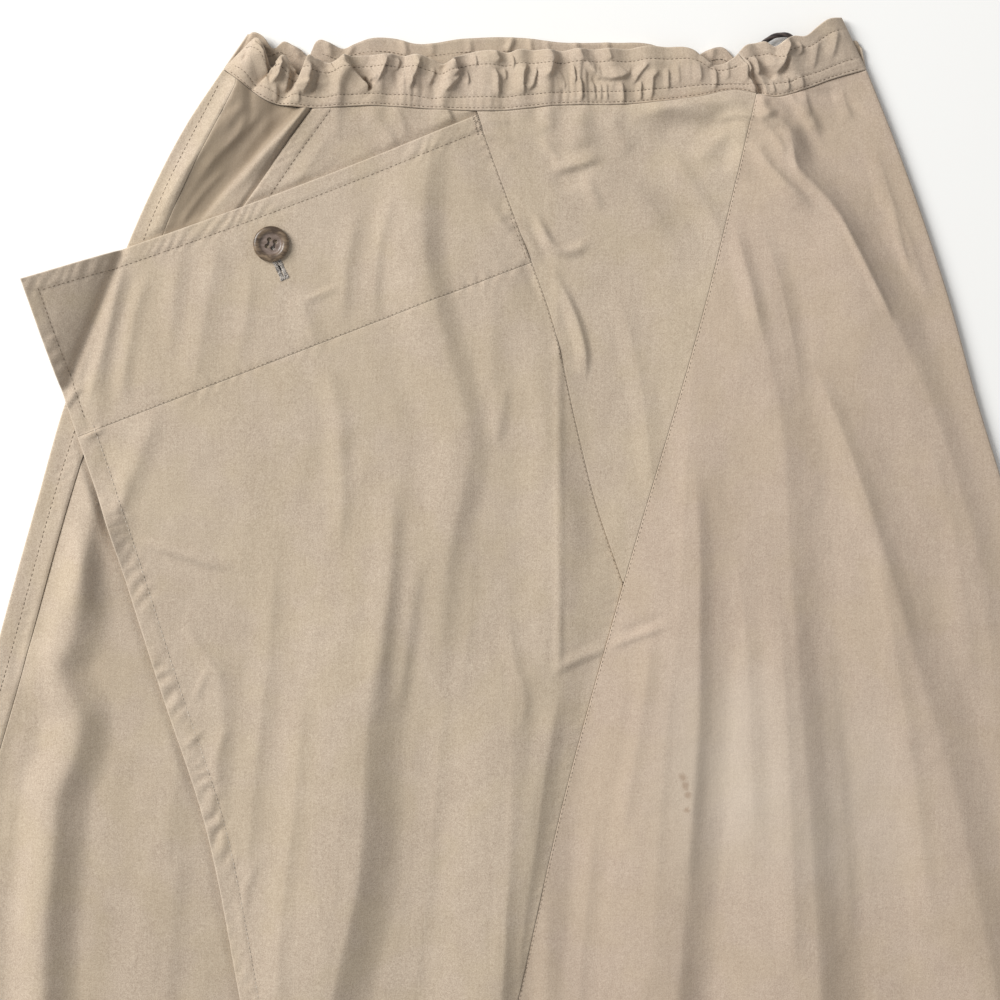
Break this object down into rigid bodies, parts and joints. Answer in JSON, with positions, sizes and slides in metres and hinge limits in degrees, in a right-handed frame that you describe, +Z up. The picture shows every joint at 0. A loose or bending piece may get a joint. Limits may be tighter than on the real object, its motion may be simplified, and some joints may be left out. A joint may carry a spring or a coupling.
{
  "type": "asymmetric skirt",
  "caption": "Asymmetric A-line skirt laid flat, with a gathered elastic waistband, a slant pocket and a wrap panel buttoned over the hip",
  "frame": {"origin": "on the surface that the skirt lies on, under the middle of its outline seen from above", "axes": "+Y from the hem to the waist, +Z up from the surface, out of the front of the skirt, and +X to the right, seen from above with the waist at the top"},
  "size_m": [0.8226, 0.8606, 0.0173],
  "materials": {
    "washed_cotton": "washed plain-weave cotton, matte, with soft creases and topstitched seams",
    "horn_button": "marbled brown imitation horn, polished rim",
    "brown_cord": "dark brown twisted cord"
  },
  "bodies": {
    "root": {"back_panel": "washed_cotton", "side_front_left": "washed_cotton", "front_left_panel": "washed_cotton", "front_inset": "washed_cotton", "front_right_panel": "washed_cotton", "overlay_band": "washed_cotton", "overlay_panel": "washed_cotton", "waistband_front_left": "washed_cotton", "waistband_front_right": "washed_cotton", "waistband_back": "washed_cotton", "hanger_loop": "brown_cord", "button": "horn_button"}
  },
  "joints": []
}
